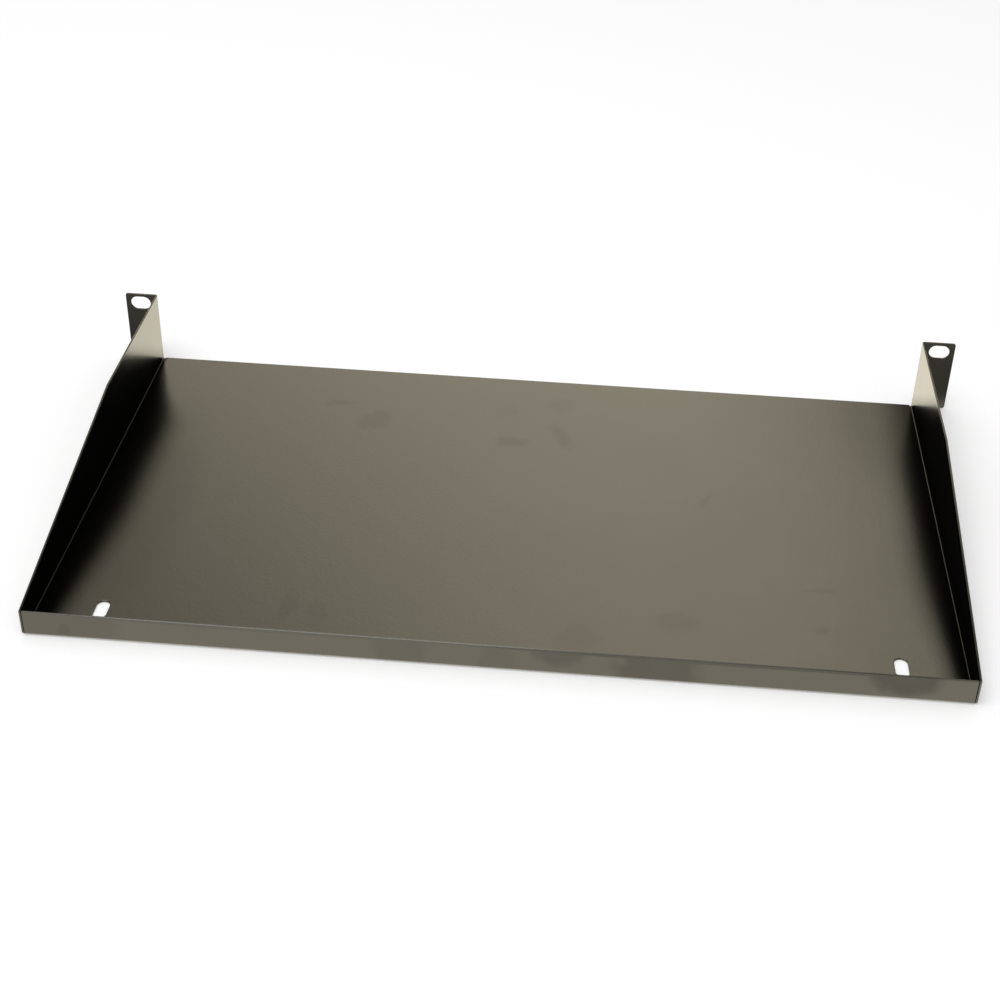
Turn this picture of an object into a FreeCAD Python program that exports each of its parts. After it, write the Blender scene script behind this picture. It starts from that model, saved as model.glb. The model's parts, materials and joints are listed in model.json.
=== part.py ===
"""Cantilever rack shelf, one rack unit high, folded from a single sheet of steel.

The blank is folded up along both sides and along the near edge, and the rear end of each side
flange is folded outwards into an ear that bolts to the rail of a 19 inch rack.

Frame: X runs across the rack, Y from the lip to the ears, Z up. The origin is the middle of the
bounding box on the underside, so the base lies on Z = 0.
"""
import FreeCAD, Part
import math
import os

V = FreeCAD.Vector

# %% Driving dimensions, millimetres

# Rack standard: panel width, one unit of height, and where the slots lie from a panel's edges.
RACK_WIDTH = 482.6
UNIT_HEIGHT = 43.65
RACK_SLOT_FROM_TIP = 8.75
RACK_SLOT_FROM_TOP = 5.95

# The sheet and its folds.
SHEET = 1.0
BEND_INNER_RADIUS = 0.6

# The tray, from the lip's outer face to the ears' far face, and how far each ear stands out.
DEPTH = 254.0
LIP_HEIGHT = 14.1
EAR_REACH = 18.2

# Each flange keeps its full height for this length from the ear face, then slopes to the lip.
SHOULDER_LENGTH = 100.4

# Slot in each ear, its long axis across the rack.
RACK_SLOT_LENGTH = 11.5
RACK_SLOT_WIDTH = 8.0
EAR_CORNER_RADIUS = 1.5

# Slots in the base behind the lip, their long axis from front to back.
BASE_SLOT_LENGTH = 12.7
BASE_SLOT_WIDTH = 6.5
BASE_SLOT_FROM_SIDE = 32.0
BASE_SLOT_FROM_LIP = 21.05

# Corners of the blank: the gap beside the lip, and the round hole where two folds meet.
LIP_END_GAP = 0.3
RELIEF_RADIUS = 0.5

# %% Places worked out from them

BEND_OUTER_RADIUS = BEND_INNER_RADIUS + SHEET

FRONT = -DEPTH / 2
REAR = DEPTH / 2
LIP_FOLD = FRONT + BEND_OUTER_RADIUS
EAR_FOLD = REAR - BEND_OUTER_RADIUS
EAR_FACE = REAR - SHEET
KINK = REAR - SHOULDER_LENGTH

EAR_TIP = RACK_WIDTH / 2
SIDE = EAR_TIP - EAR_REACH
SIDE_INNER = SIDE - SHEET
SIDE_FOLD = SIDE - BEND_OUTER_RADIUS
EAR_ROOT = SIDE + BEND_INNER_RADIUS

RIGHT = V(1, 0, 0)
BACK = V(0, 1, 0)
UP = V(0, 0, 1)


# %% Shapes of folded sheet


def box(x0, x1, y0, y1, z0, z1):
    """A flat piece of sheet between two corners."""
    return Part.makeBox(x1 - x0, y1 - y0, z1 - z0, V(x0, y0, z0))


def fold(centre, first, second, run):
    """A right-angled fold: a quarter ring from direction first to direction second, swept by run."""
    middle = (first + second).normalize()
    outer = [centre + d * BEND_OUTER_RADIUS for d in (first, middle, second)]
    inner = [centre + d * BEND_INNER_RADIUS for d in (second, middle, first)]
    edges = [
        Part.Arc(*outer).toShape(),
        Part.LineSegment(outer[-1], inner[0]).toShape(),
        Part.Arc(*inner).toShape(),
        Part.LineSegment(inner[-1], outer[0]).toShape(),
    ]
    return Part.Face(Part.Wire(edges)).extrude(run)


def slot(centre, along, through, length, width):
    """A cutter for a round-ended slot, long axis along, centred on the sheet it goes through."""
    radius = width / 2
    across = through.cross(along)
    reach = along * (length / 2 - radius)
    side = across * radius
    cap = along * radius
    edges = [
        Part.LineSegment(centre - reach - side, centre + reach - side).toShape(),
        Part.Arc(centre + reach - side, centre + reach + cap, centre + reach + side).toShape(),
        Part.LineSegment(centre + reach + side, centre - reach + side).toShape(),
        Part.Arc(centre - reach + side, centre - reach - cap, centre - reach - side).toShape(),
    ]
    face = Part.Face(Part.Wire(edges))
    face.translate(through * -SHEET)
    return face.extrude(through * (2 * SHEET))


# %% The walls


def base():
    """The tray's floor, from the lip's fold back to the plane of the ears' faces."""
    return box(-SIDE_FOLD, SIDE_FOLD, LIP_FOLD, EAR_FACE, 0, SHEET)


def lip():
    """The front wall: a fold narrower than the wall above it, which closes up to the flanges."""
    fold_half = SIDE_FOLD - LIP_END_GAP
    wall_half = SIDE_INNER - LIP_END_GAP
    centre = V(-fold_half, LIP_FOLD, BEND_OUTER_RADIUS)
    bend = fold(centre, -UP, -BACK, RIGHT * (2 * fold_half))
    wall = box(-wall_half, wall_half, FRONT, FRONT + SHEET, BEND_OUTER_RADIUS, LIP_HEIGHT)
    return [bend, wall]


def flange():
    """The right side flange: level beside the ear, then sloping down to the lip's height."""
    bend_end = EAR_FOLD - RELIEF_RADIUS
    centre = V(SIDE_FOLD, FRONT, BEND_OUTER_RADIUS)
    bend = fold(centre, -UP, RIGHT, BACK * (bend_end - FRONT))
    outline = [
        V(SIDE_INNER, FRONT, BEND_OUTER_RADIUS),
        V(SIDE_INNER, EAR_FOLD, BEND_OUTER_RADIUS),
        V(SIDE_INNER, EAR_FOLD, UNIT_HEIGHT),
        V(SIDE_INNER, KINK, UNIT_HEIGHT),
        V(SIDE_INNER, FRONT, LIP_HEIGHT),
    ]
    wall = Part.Face(Part.makePolygon(outline + outline[:1])).extrude(RIGHT * SHEET)
    return [bend, wall]


def ear():
    """The right ear, folded outwards from the flange, with its two outer corners rounded."""
    centre = V(EAR_ROOT, EAR_FOLD, 0)
    bend = fold(centre, -RIGHT, BACK, UP * UNIT_HEIGHT)
    wall = box(EAR_ROOT, EAR_TIP, EAR_FACE, REAR, 0, UNIT_HEIGHT)
    corners = [e for e in wall.Edges if is_outer_corner(e)]
    return [bend, wall.makeFillet(EAR_CORNER_RADIUS, corners)]


def is_outer_corner(edge):
    """True for the two short edges through the ear's thickness at its tip."""
    at_tip = abs(edge.CenterOfMass.x - EAR_TIP) < SHEET / 100
    return at_tip and abs(edge.tangentAt(edge.FirstParameter).y) > 0.5


# %% The cuts


def reliefs():
    """Round holes where the right fold crosses the lip's and the ear's; the rear one is open."""
    corners = [V(SIDE_FOLD, y, 0) for y in (LIP_FOLD, EAR_FOLD)]
    holes = [Part.makeCylinder(RELIEF_RADIUS, BEND_OUTER_RADIUS, c, UP) for c in corners]
    mouth = box(SIDE_FOLD - RELIEF_RADIUS, SIDE_FOLD, EAR_FOLD, EAR_FACE, 0, SHEET)
    return holes + [mouth]


def corner_trim():
    """A wedge that mitres the front end of the right fold back to the middle of its relief."""
    corners = [
        V(SIDE_FOLD, FRONT, BEND_OUTER_RADIUS),
        V(SIDE_FOLD, FRONT, 0),
        V(SIDE_FOLD, LIP_FOLD, 0),
    ]
    side = Part.Face(Part.makePolygon(corners + corners[:1]))
    return [side.extrude(RIGHT * BEND_OUTER_RADIUS)]


def slots():
    """The rack slot in the right ear and the slot at the right of the base."""
    rack_z = UNIT_HEIGHT - RACK_SLOT_FROM_TOP
    rack_centre = V(EAR_TIP - RACK_SLOT_FROM_TIP, EAR_FACE + SHEET / 2, rack_z)
    base_centre = V(SIDE - BASE_SLOT_FROM_SIDE, FRONT + BASE_SLOT_FROM_LIP, SHEET / 2)
    return [
        slot(rack_centre, RIGHT, BACK, RACK_SLOT_LENGTH, RACK_SLOT_WIDTH),
        slot(base_centre, BACK, UP, BASE_SLOT_LENGTH, BASE_SLOT_WIDTH),
    ]


# %% The shelf


def mirrored(pieces):
    """The same pieces on the left of the shelf."""
    return [piece.mirror(V(0, 0, 0), RIGHT) for piece in pieces]


def shelf():
    """The whole folded blank as one solid."""
    walls = flange() + ear()
    cutters = reliefs() + corner_trim() + slots()
    blank = base().multiFuse(lip() + walls + mirrored(walls))
    return blank.cut(cutters + mirrored(cutters)).removeSplitter()


body = shelf()
solid = body.Solids[0]
assert len(body.Solids) == 1 and solid.isValid(), "the folded blank must be one sound solid"

os.makedirs("parts", exist_ok=True)
solid.exportStep("parts/shelf.step")

size = solid.BoundBox
print(f"shelf: {size.XLength:.2f} x {size.YLength:.2f} x {size.ZLength:.2f} mm")
print(f"volume {solid.Volume / 1000:.2f} cm3, {len(solid.Faces)} faces")
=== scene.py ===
# %% [markdown]
# # A cantilever rack shelf, folded from one sheet of steel
#
# The real shelf starts as a flat steel blank. A punch cuts its outline and its slots, a press
# brake folds up the two sides and the lip and turns out the two ears, and the finished piece
# is coated in satin black. This lesson follows the same order in Blender: draw half of the
# blank, fill and mirror it, give it the sheet's thickness, clear its flat faces, break its
# edges, fold it and coat it.
#
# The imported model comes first. It is the measured truth: the new mesh has to land on it.

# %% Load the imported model
import bpy
import bmesh
import json
import math
from mathutils import Matrix, Vector


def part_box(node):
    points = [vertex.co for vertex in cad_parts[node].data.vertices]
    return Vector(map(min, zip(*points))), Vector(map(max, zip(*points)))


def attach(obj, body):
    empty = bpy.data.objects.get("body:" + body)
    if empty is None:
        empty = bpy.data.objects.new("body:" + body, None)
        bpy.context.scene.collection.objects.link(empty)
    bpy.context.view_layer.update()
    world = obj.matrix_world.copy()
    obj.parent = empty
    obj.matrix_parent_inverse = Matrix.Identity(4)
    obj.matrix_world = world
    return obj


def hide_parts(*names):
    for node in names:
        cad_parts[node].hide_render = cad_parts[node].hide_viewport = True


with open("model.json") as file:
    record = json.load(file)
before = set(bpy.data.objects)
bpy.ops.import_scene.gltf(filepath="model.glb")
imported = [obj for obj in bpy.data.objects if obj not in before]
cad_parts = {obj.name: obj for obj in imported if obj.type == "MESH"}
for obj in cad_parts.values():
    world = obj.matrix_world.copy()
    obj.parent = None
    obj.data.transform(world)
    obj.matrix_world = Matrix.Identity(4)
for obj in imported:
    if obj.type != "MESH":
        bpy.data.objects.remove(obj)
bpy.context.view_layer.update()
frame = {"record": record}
low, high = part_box("shelf")
mounts = {mount["name"]: mount for mount in frame["record"]["mounts"]}
print("packed shelf, mm:", [round(1000 * side, 2) for side in high - low])

# %% [markdown]
# ## Sizes
#
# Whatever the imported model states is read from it: the outer box, the sheet's thickness (the
# height of the tray's upper face), the slots in the ears and how far back the slots in the base
# lie. The rest are the sizes a sheet-metal drawing would give, in metres.

# %% Sizes in metres
MM = 0.001
front, rear = low.y, high.y
ear_tip = high.x
full_height = high.z
sheet = mounts["tray"]["pos_m"][2]

ear_reach = 18.2 * MM
lip_height = 14.1 * MM
shoulder = 100.4 * MM
inner_radius = 0.6 * MM
outer_radius = inner_radius + sheet
ear_corner = 1.5 * MM
lip_gap = 0.3 * MM
relief = 0.5 * MM

side_outer = ear_tip - ear_reach
side_inner = side_outer - sheet
side_fold = side_outer - outer_radius
ear_root = side_outer + inner_radius
lip_fold = front + outer_radius
ear_fold = rear - outer_radius
ear_face = rear - sheet
print("body width, mm:", round(2000 * side_outer, 2), " sheet, mm:", round(1000 * sheet, 2))

# %% [markdown]
# ## How much sheet a fold uses up
#
# Halfway through its thickness the sheet keeps its length as it bends, so a right-angled fold
# takes a quarter circle of that middle radius out of the blank. Every wall of the blank is laid
# out beyond that allowance.

# %% Lay out the blank
middle_radius = inner_radius + sheet / 2
allowance = middle_radius * math.pi / 2

lip_wall = lip_fold - allowance
lip_end = lip_wall - (lip_height - outer_radius)
side_wall = side_fold + allowance
side_top = side_wall + (full_height - outer_radius)
side_low_top = side_wall + (lip_height - outer_radius)
ear_wall = ear_fold + allowance
ear_end = ear_wall + (ear_tip - ear_root)
ear_foot = side_wall - outer_radius
kink = rear - shoulder
print("blank, mm:", round(2000 * side_top, 1), "x", round(1000 * (ear_end - lip_end), 1))

# %% [markdown]
# ## The outline of one half
#
# Only the right half is drawn, from the middle of the lip round to the middle of the rear edge.
# The outline is drawn as with a pen. A straight stretch extrudes the pen's point to a new place,
# and a round one spins it about a centre. Where the side's fold crosses the lip's fold and the
# ear's fold, the blank has a round relief, so that the corner doesn't tear when it is folded.
# The front relief opens into the narrow slit beside the lip, the rear one into the rear edge.

# %% A pen that draws lines and arcs


def line_to(bm, pen, x, y):
    """Draw a straight edge from the pen to x, y, and return the pen's new point."""
    drawn = bmesh.ops.extrude_vert_indiv(bm, verts=[pen])
    point = drawn["verts"][0]
    point.co = (x, y, 0)
    return point


def arc_round(bm, pen, x, y, degrees, steps):
    """Draw an arc from the pen round the centre x, y, and return the pen's new point."""
    spun = bmesh.ops.spin(
        bm,
        geom=[pen],
        cent=(x, y, 0),
        axis=(0, 0, 1),
        angle=math.radians(degrees),
        steps=steps,
        use_duplicate=False,
    )
    return next(item for item in spun["geom_last"] if isinstance(item, bmesh.types.BMVert))


# %% Draw the half outline
RELIEF_STEPS = 28
QUARTER_STEPS = 8

lip_reach = side_inner - lip_gap
slit_angle = math.degrees(math.asin(lip_gap / relief))
slit_x = side_fold - lip_gap
slit_y = lip_fold - relief * math.cos(math.radians(slit_angle))
corner_x = ear_foot + ear_corner
corner_y = ear_end - ear_corner

blank = bmesh.new()
start = blank.verts.new((0, lip_end, 0))
pen = line_to(blank, start, lip_reach, lip_end)
pen = line_to(blank, pen, lip_reach, lip_wall)
pen = line_to(blank, pen, slit_x, lip_wall)
pen = line_to(blank, pen, slit_x, slit_y)
pen = arc_round(blank, pen, side_fold, lip_fold, slit_angle - 360, RELIEF_STEPS)
pen = line_to(blank, pen, side_wall, front)
pen = line_to(blank, pen, side_low_top, front)
pen = line_to(blank, pen, side_top, kink)
pen = line_to(blank, pen, side_top, corner_y)
pen = arc_round(blank, pen, side_top - ear_corner, corner_y, 90, QUARTER_STEPS)
pen = line_to(blank, pen, corner_x, ear_end)
pen = arc_round(blank, pen, corner_x, corner_y, 90, QUARTER_STEPS)
pen = line_to(blank, pen, ear_foot, ear_fold)
pen = line_to(blank, pen, side_wall, ear_fold)
pen = line_to(blank, pen, side_wall, ear_fold - relief)
pen = line_to(blank, pen, side_fold, ear_fold - relief)
pen = arc_round(blank, pen, side_fold, ear_fold, -90, QUARTER_STEPS)
pen = line_to(blank, pen, side_fold - relief, ear_face)
pen = line_to(blank, pen, 0, ear_face)
blank.edges.new((pen, start))
print("points in the half outline:", len(blank.verts))

# %% [markdown]
# ## The slots
#
# A slot with round ends is a circle pulled apart. Each half of the circle moves half of the
# extra length outwards, and the two gaps that open are its straight sides. The circle is turned
# by half a step first, so none of its points lies between the halves. On the flat blank all the
# slots run from front to back. The ear's slot is laid out there from its place on the ear: its
# height above the ear's foot, and its distance out from the ear's fold.

# %% Punch the slots
SLOT_POINTS = 32
BASE_SLOT_FROM_SIDE = 32.0 * MM
BASE_SLOT_WIDTH = 6.5 * MM
BASE_SLOT_LENGTH = 12.7 * MM


def slot(bm, x, y, width, length):
    """Draw a round-ended slot centred on x, y, with its length along Y."""
    centre = Vector((x, y, 0))
    half_step = Matrix.Rotation(math.pi / SLOT_POINTS, 4, "Z")
    drawn = bmesh.ops.create_circle(
        bm,
        segments=SLOT_POINTS,
        radius=width / 2,
        matrix=Matrix.Translation(centre) @ half_step,
    )
    pull = Vector((0, 1, 0)) * (length - width) / 2
    for sign in (1, -1):
        half = [v for v in drawn["verts"] if (v.co - centre).dot(pull) * sign > 0]
        bmesh.ops.translate(bm, verts=half, vec=pull * sign)


rack_slot = mounts["rack_slots"]
rack_x = rack_slot["dims"]["spacing_x_mm"] * MM / 2
rack_slot_y = ear_wall + (rack_x - ear_root)
base_slot_y = mounts["base_slots"]["pos_m"][1]
slot(
    blank,
    x=ear_foot + rack_slot["pos_m"][2],
    y=rack_slot_y,
    width=2 * rack_slot["dims"]["hole_r_mm"] * MM,
    length=rack_slot["dims"]["slot_length_mm"] * MM,
)
slot(
    blank,
    x=side_outer - BASE_SLOT_FROM_SIDE,
    y=base_slot_y,
    width=BASE_SLOT_WIDTH,
    length=BASE_SLOT_LENGTH,
)
print("points with the slots:", len(blank.verts))

# %% [markdown]
# ## From outline to plate
#
# The triangle fill closes the outline and leaves the slots open. Mirroring gives the left half,
# but it turns that half's faces over, so the normals are recalculated, and turned up where they
# still point down. Pushing the whole face up by the sheet's thickness then gives a closed plate
# whose faces all point outwards.

# %% Fill, mirror and thicken the blank
SNAP = 0.001 * MM

bmesh.ops.triangle_fill(blank, edges=blank.edges[:], use_beauty=True, normal=(0, 0, 1))
half_blank = blank.verts[:] + blank.edges[:] + blank.faces[:]
bmesh.ops.mirror(blank, geom=half_blank, axis="X", merge_dist=SNAP)
bmesh.ops.remove_doubles(blank, verts=blank.verts[:], dist=SNAP)
bmesh.ops.recalc_face_normals(blank, faces=blank.faces[:])
downward = [face for face in blank.faces if face.normal.z < 0]
bmesh.ops.reverse_faces(blank, faces=downward)
pushed = bmesh.ops.extrude_face_region(blank, geom=blank.faces[:])
raised = [item for item in pushed["geom"] if isinstance(item, bmesh.types.BMVert)]
bmesh.ops.translate(blank, verts=raised, vec=(0, 0, sheet))
print("plate volume, cm3:", round(blank.calc_volume() * 1e6, 1))

# %% [markdown]
# ## Plain faces
#
# The fill has left thin triangles all over the plate. A face can't have a hole in it, so the
# plate is cut straight across through the middle of its slots, which opens each slot to a cut.
# Then every other edge that only divides a flat face is dissolved.

# %% Clear the flat faces
FLAT = math.radians(1)


def cut_plate(place, out):
    """Cut the whole plate along the plane through a place, square to the direction out."""
    geometry = blank.verts[:] + blank.edges[:] + blank.faces[:]
    bmesh.ops.bisect_plane(blank, geom=geometry, dist=SNAP, plane_co=place, plane_no=out)


slot_cuts = (base_slot_y, rack_slot_y)
for y in slot_cuts:
    cut_plate((0, y, 0), (0, 1, 0))


def in_cut(edge):
    """True for an edge that lies in one of the cuts through the slots."""
    return any(all(abs(v.co.y - y) < SNAP for v in edge.verts) for y in slot_cuts)


surplus = [e for e in blank.edges if e.calc_face_angle() < FLAT and not in_cut(e)]
bmesh.ops.dissolve_edges(blank, edges=surplus, use_verts=True)
print("faces with the flat ones cleared:", len(blank.faces))

# %% [markdown]
# ## Broken edges
#
# No real sheet has a knife edge: the punch rolls it over and the coating rounds it further. The
# bevel does the same to every edge where two faces meet at more than thirty degrees. The fine
# outline round the reliefs, where two folds cross, has no room for it and keeps its sharp edges.

# %% Break the edges
EDGE_BREAK = 0.35 * MM
SHARP = math.radians(30)
CROSSING = 2.5 * MM


def at_crossing(vert):
    """True for a point of the blank close to where the side's fold crosses another fold."""
    x = abs(vert.co.x) - side_fold
    return any(math.hypot(x, vert.co.y - y) < CROSSING for y in (lip_fold, ear_fold))


sharp = [e for e in blank.edges if e.is_manifold and e.calc_face_angle() > SHARP]
rim = [e for e in sharp if not all(at_crossing(v) for v in e.verts)]
bmesh.ops.bevel(
    blank,
    geom=rim,
    offset=EDGE_BREAK,
    offset_type="OFFSET",
    affect="EDGES",
    segments=3,
    profile=0.5,
    clamp_overlap=True,
    material=-1,
)
lower_break = max(v.co.z for v in blank.verts if v.co.z < sheet / 2)
print("rim edges broken:", len(rim), " break, mm:", round(lower_break / MM, 3))

# %% [markdown]
# ## Lines to bend along
#
# A face can only bend where it has edges, so cutting planes score the plate across each fold,
# closely enough for the curve to look round. The cuts go right through the plate, and do no
# harm where it stays flat.

# %% Score the fold lines
FOLD_STEPS = 10


def score(start, out):
    """Cut the plate along evenly spaced lines from the start of a fold to its end."""
    for step in range(FOLD_STEPS + 1):
        cut_plate(start + out * (allowance * step / FOLD_STEPS), out)


for turned in (1, -1):
    score(Vector((turned * side_fold, 0, 0)), Vector((turned, 0, 0)))
score(Vector((0, lip_fold, 0)), Vector((0, -1, 0)))
score(Vector((0, ear_fold, 0)), Vector((0, 1, 0)))
print("faces after scoring:", len(blank.faces))

# %% [markdown]
# ## Folding
#
# Folding moves each point of the plate round the centre of the bend. A point before the fold
# line stays. One inside the allowance travels round the arc, by as much angle as its distance
# from the line asks for. One beyond it travels the full quarter turn, and what is left of its
# distance carries on straight along the new wall.
#
# The ears go first, while the sides are still flat, as on the press brake. They are stiff when
# the sides come up: the foot of an ear hangs below the end of the side's fold, beside the
# relief, and doesn't curl round it.

# %% Fold the ears, then the sides and the lip


def fold(points, start, out, up, stiff=()):
    """Turn points of the plate towards up, round a right-angled fold that begins at start."""
    for vert in points:
        offset = vert.co - start
        distance = offset.dot(out)
        height = offset.dot(up)
        along = offset - out * distance - up * height
        used = allowance if vert in stiff else min(max(distance, 0), allowance)
        turn = used / middle_radius
        arm = middle_radius - height
        rest = distance - used
        across = arm * math.sin(turn) + rest * math.cos(turn)
        rise = middle_radius - arm * math.cos(turn) + rest * math.sin(turn)
        vert.co = start + along + out * across + up * rise


middle = sheet / 2
notch = (front + lip_wall) / 2
is_lip = {
    v: v.co.y < lip_fold and (abs(v.co.x) < side_fold - lip_gap / 2 or v.co.y < notch)
    for v in blank.verts
}
lip_points = [v for v in blank.verts if is_lip[v]]
ear_points = {v for v in blank.verts if v.co.y > ear_fold and abs(v.co.x) > side_fold}

fold(ear_points, Vector((0, ear_fold, middle)), Vector((0, 1, 0)), Vector((0, 0, -1)))
for turned in (1, -1):
    side_points = [v for v in blank.verts if v.co.x * turned > side_fold and not is_lip[v]]
    start = Vector((turned * side_fold, 0, middle))
    fold(side_points, start, Vector((turned, 0, 0)), Vector((0, 0, 1)), stiff=ear_points)
fold(lip_points, Vector((0, lip_fold, middle)), Vector((0, -1, 0)), Vector((0, 0, 1)))

spans = [[v.co[axis] for v in blank.verts] for axis in range(3)]
folded_box = [min(span) for span in spans] + [max(span) for span in spans]
miss = max(abs(ours - packed) for ours, packed in zip(folded_box, [*low, *high]))
print("folded volume, cm3:", round(blank.calc_volume() * 1e6, 2))
print("box off by, mm:", round(miss / MM, 4))

# %% [markdown]
# ## A mesh that shades like metal
#
# Smooth shading blends the facets of each fold into one curve. Weighted normals let the large
# flat walls keep their own direction right up to the broken edges, so no wall looks pillowy.

# %% Make the shelf object
mesh = bpy.data.meshes.new("folded_shelf")
blank.to_mesh(mesh)
blank.free()
for face in mesh.polygons:
    face.use_smooth = True
shelf = bpy.data.objects.new("folded_shelf", mesh)
bpy.context.scene.collection.objects.link(shelf)
weighted = shelf.modifiers.new("flat_walls", "WEIGHTED_NORMAL")
weighted.mode = "FACE_AREA"
weighted.weight = 100
weighted.keep_sharp = False
print("shelf faces:", len(mesh.polygons))

# %% [markdown]
# ## The satin black coating
#
# The coating is close to black in itself. What the eye sees on it is the room, softly mirrored:
# pale where the tray faces the light, and black where it mirrors its own side walls. So the
# material is a dark base under a reflection that is blurred by roughness. A second, clear layer
# on top makes the reflection stronger at a glancing angle, as it is on real satin paint.
#
# Numbers that are the same all over are set straight on the shader. What changes from place to
# place comes from other nodes, and a few short helpers add and join those.

# %% Helpers that add and join nodes


def node(tree, kind, **settings):
    """Add a node and fill in its settings and its named inputs."""
    made = tree.nodes.new(kind)
    for name, value in settings.items():
        if name in made.inputs.keys():
            made.inputs[name].default_value = value
        else:
            setattr(made, name, value)
    return made


def join(tree, *pairs):
    """Link each output to the input it is paired with."""
    for source, target in pairs:
        tree.links.new(source, target)


def times(tree, first, second):
    """The product of two outputs."""
    made = node(tree, "ShaderNodeMath", operation="MULTIPLY")
    join(tree, (first, made.inputs[0]), (second, made.inputs[1]))
    return made.outputs[0]


def ease(tree, start, end, before, after):
    """A node that eases its value from one level to another between start and end."""
    made = node(tree, "ShaderNodeMapRange", interpolation_type="SMOOTHSTEP")
    levels = (("From Min", start), ("From Max", end), ("To Min", before), ("To Max", after))
    for name, value in levels:
        made.inputs[name].default_value = value
    return made


def ramp(tree, stops, interpolation="LINEAR"):
    """A ramp of grey levels through (place, level) stops."""
    made = node(tree, "ShaderNodeValToRGB")
    made.color_ramp.interpolation = interpolation
    elements = made.color_ramp.elements
    elements[0].position, elements[1].position = stops[0][0], stops[-1][0]
    for place, level in stops[1:-1]:
        elements.new(place)
    for element, (place, level) in zip(elements, stops):
        element.color = (level, level, level, 1)
    return made


# %% Start the coating
coating = bpy.data.materials.new("satin_black_coating")
coating.use_nodes = True
tree = coating.node_tree
surface = tree.nodes["Principled BSDF"]
surface.inputs["Base Color"].default_value = (0.0012, 0.0012, 0.001, 1)
surface.inputs["IOR"].default_value = 2.1
surface.inputs["Coat Roughness"].default_value = 0.22
surface.inputs["Coat IOR"].default_value = 1.5
mesh.materials.append(coating)

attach(shelf, "root")
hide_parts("shelf")
print("material made:", coating.name)

# %% [markdown]
# ## Its fine grain
#
# Baked powder never flows out quite flat. A faint bump with grains of a millimetre or two gives
# the coating its soft bloom, and a slow change in roughness keeps the wide base from looking
# like plastic film.

# %% Grain and bloom
GRAIN = 650.0
PEEL = 0.03 * MM
BLOOM = 14.0
SMOOTHEST, ROUGHEST = 0.235, 0.265

place = node(tree, "ShaderNodeTexCoord")
grain = node(tree, "ShaderNodeTexNoise", Scale=GRAIN, Detail=1.0, Roughness=0.5)
peel = node(tree, "ShaderNodeBump", Strength=1.0, Distance=PEEL)
bloom = node(tree, "ShaderNodeTexNoise", Scale=BLOOM, Detail=3.0, Roughness=0.6)
gloss = ease(tree, 0.35, 0.65, SMOOTHEST, ROUGHEST)
join(
    tree,
    (place.outputs["Object"], grain.inputs["Vector"]),
    (grain.outputs[0], peel.inputs["Height"]),
    (peel.outputs[0], surface.inputs["Normal"]),
    (peel.outputs[0], surface.inputs["Coat Normal"]),
    (place.outputs["Object"], bloom.inputs["Vector"]),
    (bloom.outputs[0], gloss.inputs["Value"]),
    (gloss.outputs[0], surface.inputs["Roughness"]),
)
print("grain, mm:", round(1 / GRAIN / MM, 1), " bloom, mm:", round(1 / BLOOM / MM))

# %% [markdown]
# ## Painted shade beside the folds
#
# Beside the two long folds the coating's shine is turned down, which paints shade into the
# tray's inner corners. The distances are measured from a line a little to the right of the
# middle, at a slight slant, so the band is wider on the left. It is narrower at the lip, where
# the side walls are low, and narrowest at the left rear. The measure is the distance from the
# fold across the tray, with a little added at the left rear, divided by how wide the band is
# there. Away from the tray's upper face the distance is made large, which leaves the walls alone.

# %% Paint shade beside the folds
SHADE_START, SHADE_END = 4.5 * MM, 31 * MM
MIDLINE_TO_RIGHT = 4 * MM
MIDLINE_SLANT = -0.014
NARROW_START, NARROW_END = front + 224 * MM, front + 297 * MM
NARROW_WIDTH = 0.1
NARROW_LIFT = 6 * MM
LOW_START, LOW_END = front - 40 * MM, front + 110 * MM
LOW_WIDTH = 0.45
HEIGHT_WEIGHT = 150.0

parts = node(tree, "ShaderNodeSeparateXYZ")
midline_pass = node(tree, "ShaderNodeVectorMath", operation="DOT_PRODUCT")
midline_pass.inputs[1].default_value = (1, MIDLINE_SLANT, 0)
from_middle = node(tree, "ShaderNodeMath", operation="SUBTRACT")
from_middle.inputs[1].default_value = MIDLINE_TO_RIGHT
across = node(tree, "ShaderNodeMath", operation="ABSOLUTE")
beside = node(tree, "ShaderNodeMath", operation="SUBTRACT")
beside.inputs[0].default_value = side_fold
rearward = node(tree, "ShaderNodeVectorMath", operation="DOT_PRODUCT")
rearward.inputs[1].default_value = (-0.25, 1, 0)
narrowing = ease(tree, NARROW_START, NARROW_END, 1.0, NARROW_WIDTH)
near_lip = ease(tree, LOW_START, LOW_END, LOW_WIDTH, 1.0)
band = times(tree, narrowing.outputs[0], near_lip.outputs[0])
lift = ease(tree, NARROW_START, NARROW_END, 0, NARROW_LIFT)
lifted = node(tree, "ShaderNodeMath", operation="ADD")
banded = node(tree, "ShaderNodeMath", operation="DIVIDE")
offset = node(tree, "ShaderNodeMath", operation="SUBTRACT")
offset.inputs[1].default_value = sheet
height = node(tree, "ShaderNodeMath", operation="ABSOLUTE")
above = node(tree, "ShaderNodeMath", operation="MULTIPLY")
above.inputs[1].default_value = HEIGHT_WEIGHT
away = node(tree, "ShaderNodeMath", operation="MAXIMUM")
# Painted shade: no shine close beside a fold, full shine beyond the band.
painted_fold_shade = ease(tree, SHADE_START, SHADE_END, 0.0, 1.0)
print("thin band, mm:", round(SHADE_START / MM, 1), "to", round(SHADE_END / MM, 1))
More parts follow.
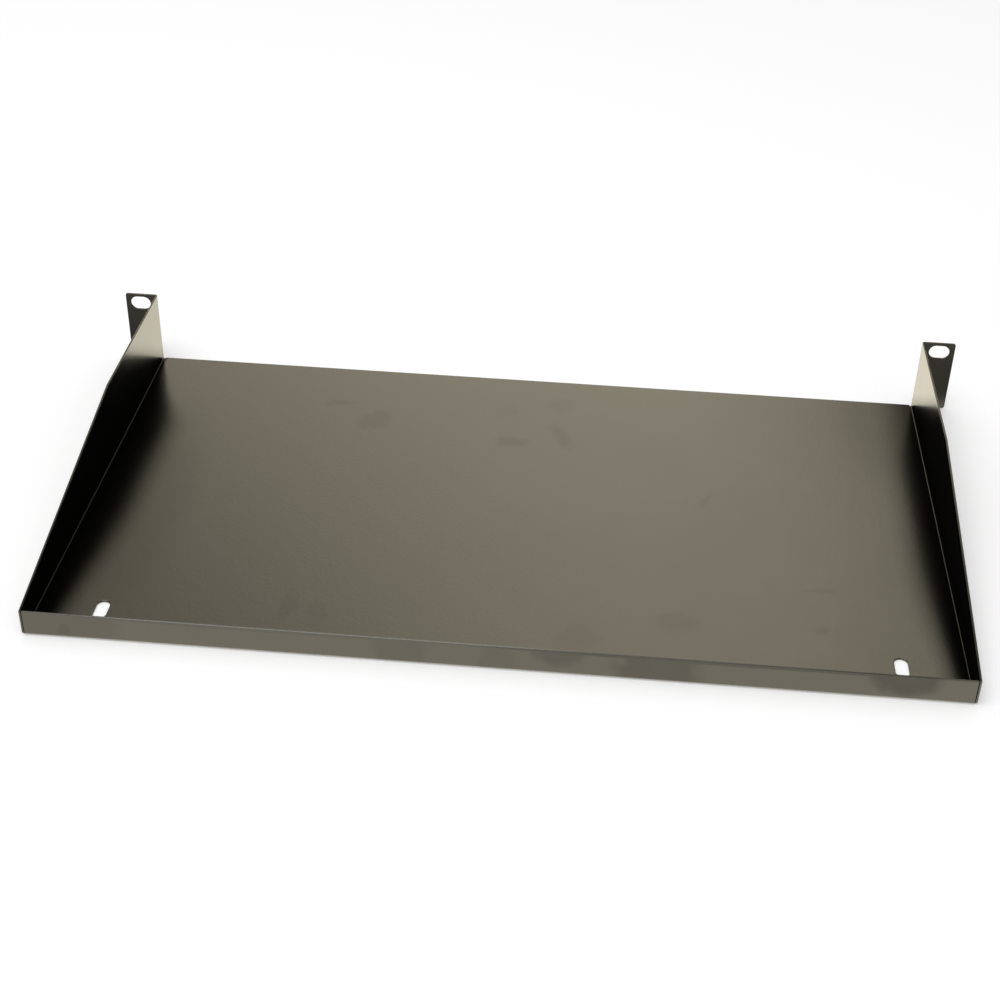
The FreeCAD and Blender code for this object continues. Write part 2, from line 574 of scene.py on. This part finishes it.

# %% Join the nodes of the painted shade band
join(
    tree,
    (place.outputs["Object"], parts.inputs[0]),
    (place.outputs["Object"], midline_pass.inputs[0]),
    (midline_pass.outputs["Value"], from_middle.inputs[0]),
    (from_middle.outputs[0], across.inputs[0]),
    (across.outputs[0], beside.inputs[1]),
    (place.outputs["Object"], rearward.inputs[0]),
    (rearward.outputs["Value"], narrowing.inputs["Value"]),
    (rearward.outputs["Value"], lift.inputs["Value"]),
    (beside.outputs[0], lifted.inputs[0]),
    (lift.outputs[0], lifted.inputs[1]),
    (lifted.outputs[0], banded.inputs[0]),
    (parts.outputs["Y"], near_lip.inputs["Value"]),
    (band, banded.inputs[1]),
    (parts.outputs["Z"], offset.inputs[0]),
    (offset.outputs[0], height.inputs[0]),
    (height.outputs[0], above.inputs[0]),
    (banded.outputs[0], away.inputs[0]),
    (above.outputs[0], away.inputs[1]),
    (away.outputs[0], painted_fold_shade.inputs["Value"]),
)
print("nodes in the coating:", len(tree.nodes))

# %% [markdown]
# ## Finger marks and painted shade
#
# A black satin tray shows every touch. Most marks are ovals of skin oil that dull the reflection
# under them; a few are painted shade: two long ovals beside the side folds and two thin lines
# along the lip's top edge. Each dulls most round its core, a little less in the very middle, and
# fades outwards. Marks on the tray lie flat; the ones on the lip stand upright, where fingers
# curled over its edge. A slow wobble of the coordinates keeps the ovals from looking drawn.
# Where marks cross, the stronger one counts.

# %% Choose where the marks are
TRAY_MARKS = (
    # Millimetres and degrees: x, y, size along x, size along y, turn, strength.
    (-85, 73, 24, 26, 0, 0.11),
    (-109, 89, 26, 10, 10, 0.09),
    (-7, 60, 23, 15, 0, 0.13),
    (20, 69, 15, 32, 30, 0.12),
    (19, 101, 20, 20, 0, 0.06),
    (-13, 92, 19, 22, 0, 0.05),
    (38, -101, 36, 26, 0, 0.07),
    (86, -85, 29, 20, 0, 0.09),
    (155, -85, 9, 9, 0, 0.10),
    (-103, -93, 11, 30, 0, 0.08),
    (-88, -97, 13, 24, 0, 0.06),
    (157, -54, 27, 6, 5, 0.09),
    (102, 17, 7, 14, -30, 0.09),
    # Two long ovals of painted shade beside the side folds.
    (-192, -20, 60, 240, 0, 0.12),
    (210, 120, 90, 220, 0, 0.18),
)
LIP_MARKS = (
    # Millimetres: x, z, length, height, strength.
    (-208, 9, 76, 70, 0.14),
    (-203, 5, 10, 10, 0.22),
    (-44, 7, 28, 60, 0.11),
    (2, 7, 22, 24, 0.07),
    (30, 16, 30, 28, 0.22),
    (76, 8, 48, 80, 0.25),
    (190, 16, 40, 34, 0.36),
    # Two thin lines of painted shade along the lip's top edge.
    (104, 13.4, 270, 2.8, 0.30),
    (-110, 13.4, 240, 2.8, 0.11),
)
print("marks on the tray:", len(TRAY_MARKS), " on the lip:", len(LIP_MARKS))

# %% Draw one mark


def mark(place, middle, size, turn, strength, core):
    """One oval mark on the coordinates place, strongest at its core and fading outwards."""
    aim = node(tree, "ShaderNodeMapping", vector_type="TEXTURE")
    aim.inputs["Location"].default_value = [part * MM for part in middle]
    aim.inputs["Rotation"].default_value = (0, 0, math.radians(turn))
    aim.inputs["Scale"].default_value = [part / 2 * MM for part in size]
    reach = node(tree, "ShaderNodeVectorMath", operation="LENGTH")
    fade = ramp(tree, ((0, 0.85 * strength), (core, strength), (1, 0)), "EASE")
    join(
        tree,
        (place, aim.inputs[0]),
        (aim.outputs[0], reach.inputs[0]),
        (reach.outputs["Value"], fade.inputs[0]),
    )
    return fade.outputs[0]


# %% Leave the finger marks and the painted shade
LIP_MARK_REACH = 14
WOBBLE = 12 * MM

wobble = node(tree, "ShaderNodeTexNoise", Scale=90.0, Detail=2.0, Roughness=0.5)
centred = node(tree, "ShaderNodeVectorMath", operation="SUBTRACT")
centred.inputs[1].default_value = (0.5, 0.5, 0.5)
shift = node(tree, "ShaderNodeVectorMath", operation="MULTIPLY_ADD")
shift.inputs[1].default_value = (WOBBLE, WOBBLE, 0)
join(
    tree,
    (place.outputs["Object"], wobble.inputs["Vector"]),
    (wobble.outputs["Color"], centred.inputs[0]),
    (centred.outputs[0], shift.inputs[0]),
    (place.outputs["Object"], shift.inputs[2]),
)
loose = shift.outputs[0]
tray_z = sheet / MM
lip_y = front / MM
marks = [
    mark(loose, (x, y, tray_z), (long, wide, 1), turn, dulling, core=0.35)
    for x, y, long, wide, turn, dulling in TRAY_MARKS
]
marks += [
    mark(loose, (x, lip_y, z), (long, LIP_MARK_REACH, high), 0, dulling, core=0.62)
    for x, z, long, high, dulling in LIP_MARKS
]
print("finger marks:", len(marks))

# %% Wipe the shine off under the marks and the painted shade
oil_and_shade = marks[0]
for other in marks[1:]:
    strongest = node(tree, "ShaderNodeMath", operation="MAXIMUM")
    join(tree, (oil_and_shade, strongest.inputs[0]), (other, strongest.inputs[1]))
    oil_and_shade = strongest.outputs[0]
# The marks and the painted shade beside the folds both take the shine off.
clean = node(tree, "ShaderNodeMath", operation="SUBTRACT")
clean.inputs[0].default_value = 1.0
shine = node(tree, "ShaderNodeMath", operation="MULTIPLY")
join(
    tree,
    (oil_and_shade, clean.inputs[1]),
    (clean.outputs[0], shine.inputs[0]),
    (painted_fold_shade.outputs[0], shine.inputs[1]),
    (shine.outputs[0], surface.inputs["Coat Weight"]),
    (shine.outputs[0], surface.inputs["Specular Tint"]),
)
print("nodes in the coating:", len(tree.nodes))

# %% [markdown]
# ## A painted highlight on the lip's edge
#
# The left half of the lip's top edge shows a fine paler line, a painted highlight where the edge
# catches the light. One more mark, thin and flat on the edge, mixes a paler colour into the
# coating. On a Mix node that mixes colours, inputs 6 and 7 and output 2 are the coloured ones.

# %% Paint a highlight on the lip's edge
# The painted highlight: a paler base colour along the lip's top edge.
HIGHLIGHT_COLOUR = (0.05, 0.054, 0.044, 1)
HIGHLIGHT_MIDDLE = -75
HIGHLIGHT_SIZE = (270, 3, 1)

edge = (HIGHLIGHT_MIDDLE, lip_y + sheet / MM / 2, lip_height / MM)
painted_highlight = mark(place.outputs["Object"], edge, HIGHLIGHT_SIZE, turn=0, strength=1.0, core=0.75)
colour = node(tree, "ShaderNodeMix", data_type="RGBA")
colour.inputs[6].default_value = surface.inputs["Base Color"].default_value
colour.inputs[7].default_value = HIGHLIGHT_COLOUR
join(
    tree,
    (painted_highlight, colour.inputs["Factor"]),
    (colour.outputs[2], surface.inputs["Base Color"]),
)
print("rubbed edge, mm long:", HIGHLIGHT_SIZE[0])

# %% [markdown]
# ## Floor
#
# The shelf lies on a wide white floor that keeps its soft shadow. A mirror on a real floor shows
# more than the floor's paint: it shows how the floor is lit. So the coating sees the floor as
# bands of glow, with painted shadow and painted light: bright in front of the lip, dim under and
# beside the shelf, dimmer still beside its rear end, which is the floor that the ears mirror,
# and brightest behind it.

# %% Lay the floor
FLOOR_HALF = 8
FLOOR_GAP = 0.2 * MM

ground = bmesh.new()
bmesh.ops.create_grid(ground, x_segments=1, y_segments=1, size=FLOOR_HALF)
bmesh.ops.translate(ground, verts=ground.verts[:], vec=(0, 0, low.z - FLOOR_GAP))
floor_mesh = bpy.data.meshes.new("floor")
ground.to_mesh(floor_mesh)
ground.free()
floor = bpy.data.objects.new("floor", floor_mesh)
bpy.context.scene.collection.objects.link(floor)

paper = bpy.data.materials.new("white_floor")
paper.use_nodes = True
paper_tree = paper.node_tree
paper_tree.nodes.remove(paper_tree.nodes["Principled BSDF"])
floor_mesh.materials.append(paper)
print("floor, m:", 2 * FLOOR_HALF, "square, below the shelf by, mm:", round(FLOOR_GAP / MM, 1))

# %% Band the floor that the coating mirrors
WARM_FLOOR = (1.0, 0.93, 0.75, 1)
BRIGHTEST = 1.21
# Painted shadow under and beside the shelf, and painted light behind it, for mirrored rays only.
BANDS = (
    # Place along Y in metres, and how bright the floor is there.
    (-0.128, 0.90),
    (-0.11, 0.34),
    (0.03, 0.34),
    (0.07, 0.19),
    (0.112, 0.19),
    (0.14, BRIGHTEST),
)
REACH = 0.2

paper_place = node(paper_tree, "ShaderNodeTexCoord")
paper_parts = node(paper_tree, "ShaderNodeSeparateXYZ")
depth = node(paper_tree, "ShaderNodeMapRange")
depth.inputs["From Min"].default_value = -REACH
depth.inputs["From Max"].default_value = REACH
stops = [((y + REACH) / (2 * REACH), level / BRIGHTEST) for y, level in BANDS]
bands = ramp(paper_tree, stops)
mirror = node(paper_tree, "ShaderNodeEmission")
mirror.inputs["Color"].default_value = [BRIGHTEST * part for part in WARM_FLOOR]
join(
    paper_tree,
    (paper_place.outputs["Object"], paper_parts.inputs[0]),
    (paper_parts.outputs["Y"], depth.inputs["Value"]),
    (depth.outputs[0], bands.inputs[0]),
    (bands.outputs[0], mirror.inputs["Strength"]),
)
print("brightness along the mirrored floor:", [level for _, level in BANDS])

# %% [markdown]
# The camera sees matt white, with a trace of glow that lifts the lit floor to pure white. Light
# that bounces off the floor is left as the lamp and the room make it. Light Path tells the
# kinds of ray apart.

# %% Choose what each ray sees of the floor
FLOOR_WHITE = (0.93, 0.93, 0.93, 1)
FLOOR_GLOW = (0.20, 0.20, 0.20, 1)

matt = node(paper_tree, "ShaderNodeBsdfDiffuse", Color=FLOOR_WHITE)
glow = node(paper_tree, "ShaderNodeEmission", Color=FLOOR_GLOW)
glowing = node(paper_tree, "ShaderNodeAddShader")
paper_rays = node(paper_tree, "ShaderNodeLightPath")
seen = node(paper_tree, "ShaderNodeMixShader")
mirrored_or_seen = node(paper_tree, "ShaderNodeMixShader")
join(
    paper_tree,
    (matt.outputs[0], glowing.inputs[0]),
    (glow.outputs[0], glowing.inputs[1]),
    (paper_rays.outputs["Is Camera Ray"], seen.inputs[0]),
    (matt.outputs[0], seen.inputs[1]),
    (glowing.outputs[0], seen.inputs[2]),
    (paper_rays.outputs["Is Glossy Ray"], mirrored_or_seen.inputs[0]),
    (seen.outputs[0], mirrored_or_seen.inputs[1]),
    (mirror.outputs[0], mirrored_or_seen.inputs[2]),
    (mirrored_or_seen.outputs[0], paper_tree.nodes["Material Output"].inputs["Surface"]),
)
print("nodes in the floor:", len(paper_tree.nodes))

# %% [markdown]
# ## The room
#
# A black coating looks like the room that it mirrors, so the world is painted as one: a pale,
# warm room that falls off to the left, to the right and towards the ceiling, most of all at its
# right. A window lifts the right half a little, and there is a dark doorway at the right of the
# far wall. Each of these is one eased level, and the levels are multiplied. The lip's side of
# the room is plainly dim. In a world's shader Generated is the direction that a ray looks in, so
# X is how far it looks to the right, and Y how far it looks towards the far wall.

# %% Paint the room that the coating mirrors
DOORWAY = (0.35, 0.85, 0.40)

world = bpy.data.worlds.new("pale_room")
bpy.context.scene.world = world
world.use_nodes = True
world.cycles.sampling_method = "NONE"
room = world.node_tree

toward = node(room, "ShaderNodeTexCoord").outputs["Generated"]
room_parts = node(room, "ShaderNodeSeparateXYZ")
slant = node(room, "ShaderNodeVectorMath", operation="DOT_PRODUCT")
slant.inputs[1].default_value = (1, 0, -0.8)
up_right = node(room, "ShaderNodeVectorMath", operation="DOT_PRODUCT")
up_right.inputs[1].default_value = (0.5, 0, 1)
from_door = node(room, "ShaderNodeVectorMath", operation="DISTANCE")
from_door.inputs[1].default_value = DOORWAY
print("nodes that find a ray's direction:", len(room.nodes))

# %% Set the levels of the room
NEAR_SIDE = 0.38

# Each line: from where, to where, the level before, the level after.
left = ease(room, -0.94, -0.46, 0.25, 1.02)
right = ease(room, 0.60, 0.10, 0.14, 1.0)
window = ease(room, -0.35, 0.25, 0.97, 1.10)
ceiling = ease(room, 0.74, 0.95, 1.0, 0.2)
far_side = ease(room, -0.1, 0.5, 0.0, 1.0)
doorway = ease(room, 0.14, 0.32, 0.1, 1.0)
join(
    room,
    (toward, room_parts.inputs[0]),
    (toward, slant.inputs[0]),
    (toward, from_door.inputs[0]),
    (slant.outputs["Value"], left.inputs["Value"]),
    (room_parts.outputs["X"], right.inputs["Value"]),
    (room_parts.outputs["X"], window.inputs["Value"]),
    (toward, up_right.inputs[0]),
    (up_right.outputs["Value"], ceiling.inputs["Value"]),
    (room_parts.outputs["Y"], far_side.inputs["Value"]),
    (from_door.outputs["Value"], doorway.inputs["Value"]),
)
far_room = left.outputs[0]
for wall in (right, window, ceiling, doorway):
    far_room = times(room, far_room, wall.outputs[0])
whole_room = node(room, "ShaderNodeMix", data_type="FLOAT")
whole_room.inputs["A"].default_value = NEAR_SIDE
join(
    room,
    (far_side.outputs[0], whole_room.inputs["Factor"]),
    (far_room, whole_room.inputs["B"]),
)
mirrored_room = whole_room.outputs["Result"]
print("nodes in the painted room:", len(room.nodes))

# %% [markdown]
# Not every ray gets that room. A ray that was mirrored twice, with a glossy depth of two or more,
# finds a dark one, which keeps the inner corners deep, where one coated wall mirrors another.
# Matt surfaces are lit at a plain level, and the camera sees plain white behind the floor's
# edge. Only mirrored rays find the room warm.

# %% Choose what each ray sees of the room
ROOM_DEEP = 0.003
ROOM_LIGHT = 0.60
BETWEEN_ONE_AND_TWO = 1.5
WHITE = (1, 1, 1, 1)
WARM_ROOM = (1.0, 0.907, 0.692, 1)


def choose(tree, when, level, otherwise):
    """A plain level for one kind of ray, and another output for the rest."""
    made = node(tree, "ShaderNodeMix", data_type="FLOAT")
    made.inputs["B"].default_value = level
    join(tree, (when, made.inputs["Factor"]), (otherwise, made.inputs["A"]))
    return made.outputs["Result"]


rays = node(room, "ShaderNodeLightPath").outputs
twice = node(room, "ShaderNodeMath", operation="GREATER_THAN")
twice.inputs[1].default_value = BETWEEN_ONE_AND_TWO
tint = node(room, "ShaderNodeMix", data_type="RGBA")
tint.inputs[6].default_value = WHITE
tint.inputs[7].default_value = WARM_ROOM
join(
    room,
    (rays["Glossy Depth"], twice.inputs[0]),
    (rays["Is Glossy Ray"], tint.inputs["Factor"]),
)
strength = choose(room, twice.outputs[0], ROOM_DEEP, mirrored_room)
strength = choose(room, rays["Is Diffuse Ray"], ROOM_LIGHT, strength)
strength = choose(room, rays["Is Camera Ray"], 1.0, strength)
background = room.nodes["Background"]
join(
    room,
    (tint.outputs[2], background.inputs["Color"]),
    (strength, background.inputs["Strength"]),
)
print("nodes in the world:", len(room.nodes))

# %% [markdown]
# ## The lamp
#
# One large soft lamp hangs over the front left and adds the shadow under the shelf. An area lamp
# shines along its own -Z, which is turned towards the middle of the shelf.

# %% Hang the lamp
LAMP_PLACE = Vector((-0.5, -0.6, 2.2))
LAMP_SIDE = 1.8
LAMP_WATTS = 22

light = bpy.data.lights.new("overhead_lamp", "AREA")
light.shape = "SQUARE"
light.size = LAMP_SIDE
light.energy = LAMP_WATTS
lamp = bpy.data.objects.new("overhead_lamp", light)
bpy.context.scene.collection.objects.link(lamp)
lamp.location = LAMP_PLACE
lamp.rotation_euler = (-LAMP_PLACE).to_track_quat("-Z", "Y").to_euler()
print("lamp above the floor, m:", round(LAMP_PLACE.z, 1))

# %% [markdown]
# ## The camera
#
# The camera looks down on the shelf from in front of the lip, a little to the right of the
# middle, so the lip is nearest and the ears stand up at the far end. It is turned about the
# upright axis first, then tipped down, and last rolled a little about its own line of sight.

# %% Place the camera
CAMERA_PLACE = Vector((0.0481, front - 0.5786, 0.5212))
YAW, PITCH, ROLL = -0.0686, 0.5715, 0.0273

camera_data = bpy.data.cameras.new("camera")
camera_data.sensor_width = 36
camera_data.lens = 59.626
camera_data.shift_x = -0.0169
camera_data.shift_y = -0.0977
camera = bpy.data.objects.new("camera", camera_data)
bpy.context.scene.collection.objects.link(camera)
camera.matrix_world = (
    Matrix.Translation(CAMERA_PLACE)
    @ Matrix.Rotation(-YAW, 4, "Z")
    @ Matrix.Rotation(math.pi / 2 - PITCH, 4, "X")
    @ Matrix.Rotation(ROLL, 4, "Z")
)
bpy.context.scene.camera = camera
bpy.context.scene.view_settings.view_transform = "Standard"
print("camera from the shelf's middle, m:", round(CAMERA_PLACE.length, 2))
